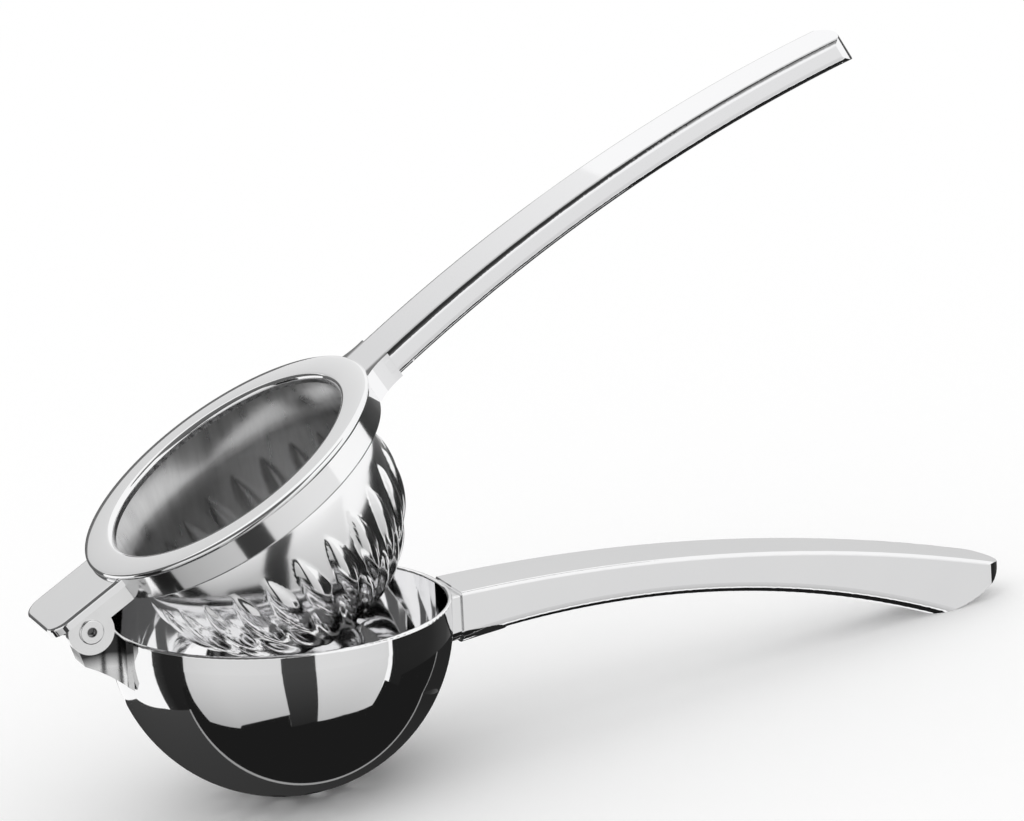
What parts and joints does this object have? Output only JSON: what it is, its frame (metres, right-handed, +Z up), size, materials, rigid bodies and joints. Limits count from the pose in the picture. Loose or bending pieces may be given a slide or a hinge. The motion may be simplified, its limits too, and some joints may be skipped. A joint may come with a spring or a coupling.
{
  "type": "hinged lemon squeezer",
  "caption": "Hand squeezer for citrus halves: a fluted press cup on a hinged upper handle that closes into a pierced lower bowl on a curved handle.",
  "frame": {"origin": "centre of the bounding box's underside, at rest on a table on the bowl and the lower handle's heel, with the upper arm open as in the picture", "axes": "+X from the hinge towards the handles' ends, +Y across the handles, along the hinge pin, +Z up"},
  "size_m": [0.2182, 0.0724, 0.1332],
  "materials": {
    "polished_steel": "mirror-polished stainless steel",
    "pressed_steel": "polished pressed stainless sheet, satin inside the cup",
    "pin_steel": "turned stainless steel"
  },
  "bodies": {
    "base": {"lower_bowl": "pressed_steel", "lower_handle": "polished_steel", "bowl_hinge_lug": "polished_steel"},
    "arm": {"ring_frame": "polished_steel", "press_cup": "pressed_steel", "upper_handle": "polished_steel", "hinge_tongue": "polished_steel", "hinge_cheek_left": "polished_steel", "hinge_cheek_right": "polished_steel", "hinge_pin": "pin_steel", "hinge_washers": "pin_steel"}
  },
  "joints": [
    {"name": "arm_hinge", "type": "hinge", "parent": "base", "child": "arm", "pos_m": [-0.10061, 0, 0.04848], "axis": [0, -1, 0], "range_deg": [-33, 65]}
  ]
}
